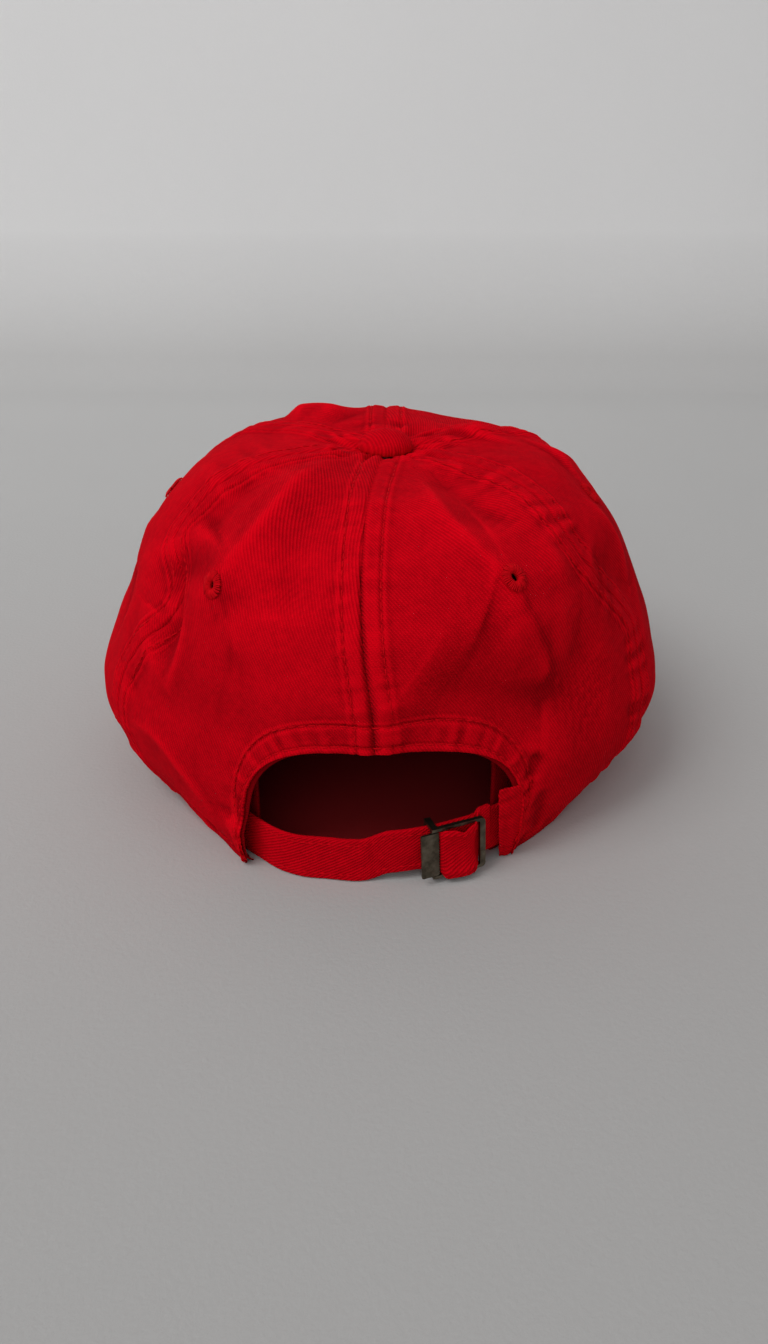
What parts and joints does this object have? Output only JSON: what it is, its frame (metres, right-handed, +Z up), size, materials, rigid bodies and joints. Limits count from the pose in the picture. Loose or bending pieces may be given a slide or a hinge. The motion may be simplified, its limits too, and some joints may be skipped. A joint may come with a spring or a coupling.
{
  "type": "baseball cap",
  "caption": "Soft cotton baseball cap with a curved visor, stitched panels, a covered top button, and an arched back opening closed by a cloth strap and metal clamp buckle.",
  "frame": {"origin": "centre of the head opening, in the plane that the rim rests on", "axes": "+X to the wearer's left, +Y to the back opening, so the visor points along -Y, +Z up through the button"},
  "size_m": [0.1932, 0.2566, 0.1139],
  "materials": {
    "twill": "washed cotton twill",
    "strap_twill": "washed cotton twill, stitched edges",
    "seam_tape": "plain woven cotton tape",
    "thread": "embroidery thread",
    "sweatband": "folded cotton twill",
    "visor_board": "moulded sheet",
    "button_metal": "plain stamped steel",
    "buckle_metal": "dark antique plating, satin"
  },
  "bodies": {
    "root": {"back_left_panel": "twill", "back_right_panel": "twill", "side_left_panel": "twill", "side_right_panel": "twill", "front_left_panel": "twill", "front_right_panel": "twill", "back_seam_tape": "seam_tape", "back_left_seam_tape": "seam_tape", "back_right_seam_tape": "seam_tape", "front_seam_tape": "seam_tape", "front_left_seam_tape": "seam_tape", "front_right_seam_tape": "seam_tape", "eyelets": "thread", "arch_facing": "seam_tape", "sweatband": "sweatband", "visor_board": "visor_board", "visor_top_cover": "twill", "visor_under_cover": "twill", "button_cover": "twill", "button_shell": "button_metal", "button_rivet": "button_metal", "buckle_tab": "strap_twill", "strap_keeper": "strap_twill", "buckle_frame": "buckle_metal", "hinge_pin": "buckle_metal"},
    "strap": {"adjuster_strap": "strap_twill"},
    "clamp": {"clamp_plate": "buckle_metal"}
  },
  "joints": [
    {"name": "strap_slide", "type": "hinge", "parent": "root", "child": "strap", "pos_m": [0, 0.0245, 0.00992], "axis": [0.0436, 0, 0.999], "range_deg": [-6, 8]},
    {"name": "clamp_lever", "type": "hinge", "parent": "root", "child": "clamp", "pos_m": [-0.01772, 0.08689, 0.01069], "axis": [0.0436, 0, 0.999], "range_deg": [0, 100]}
  ]
}
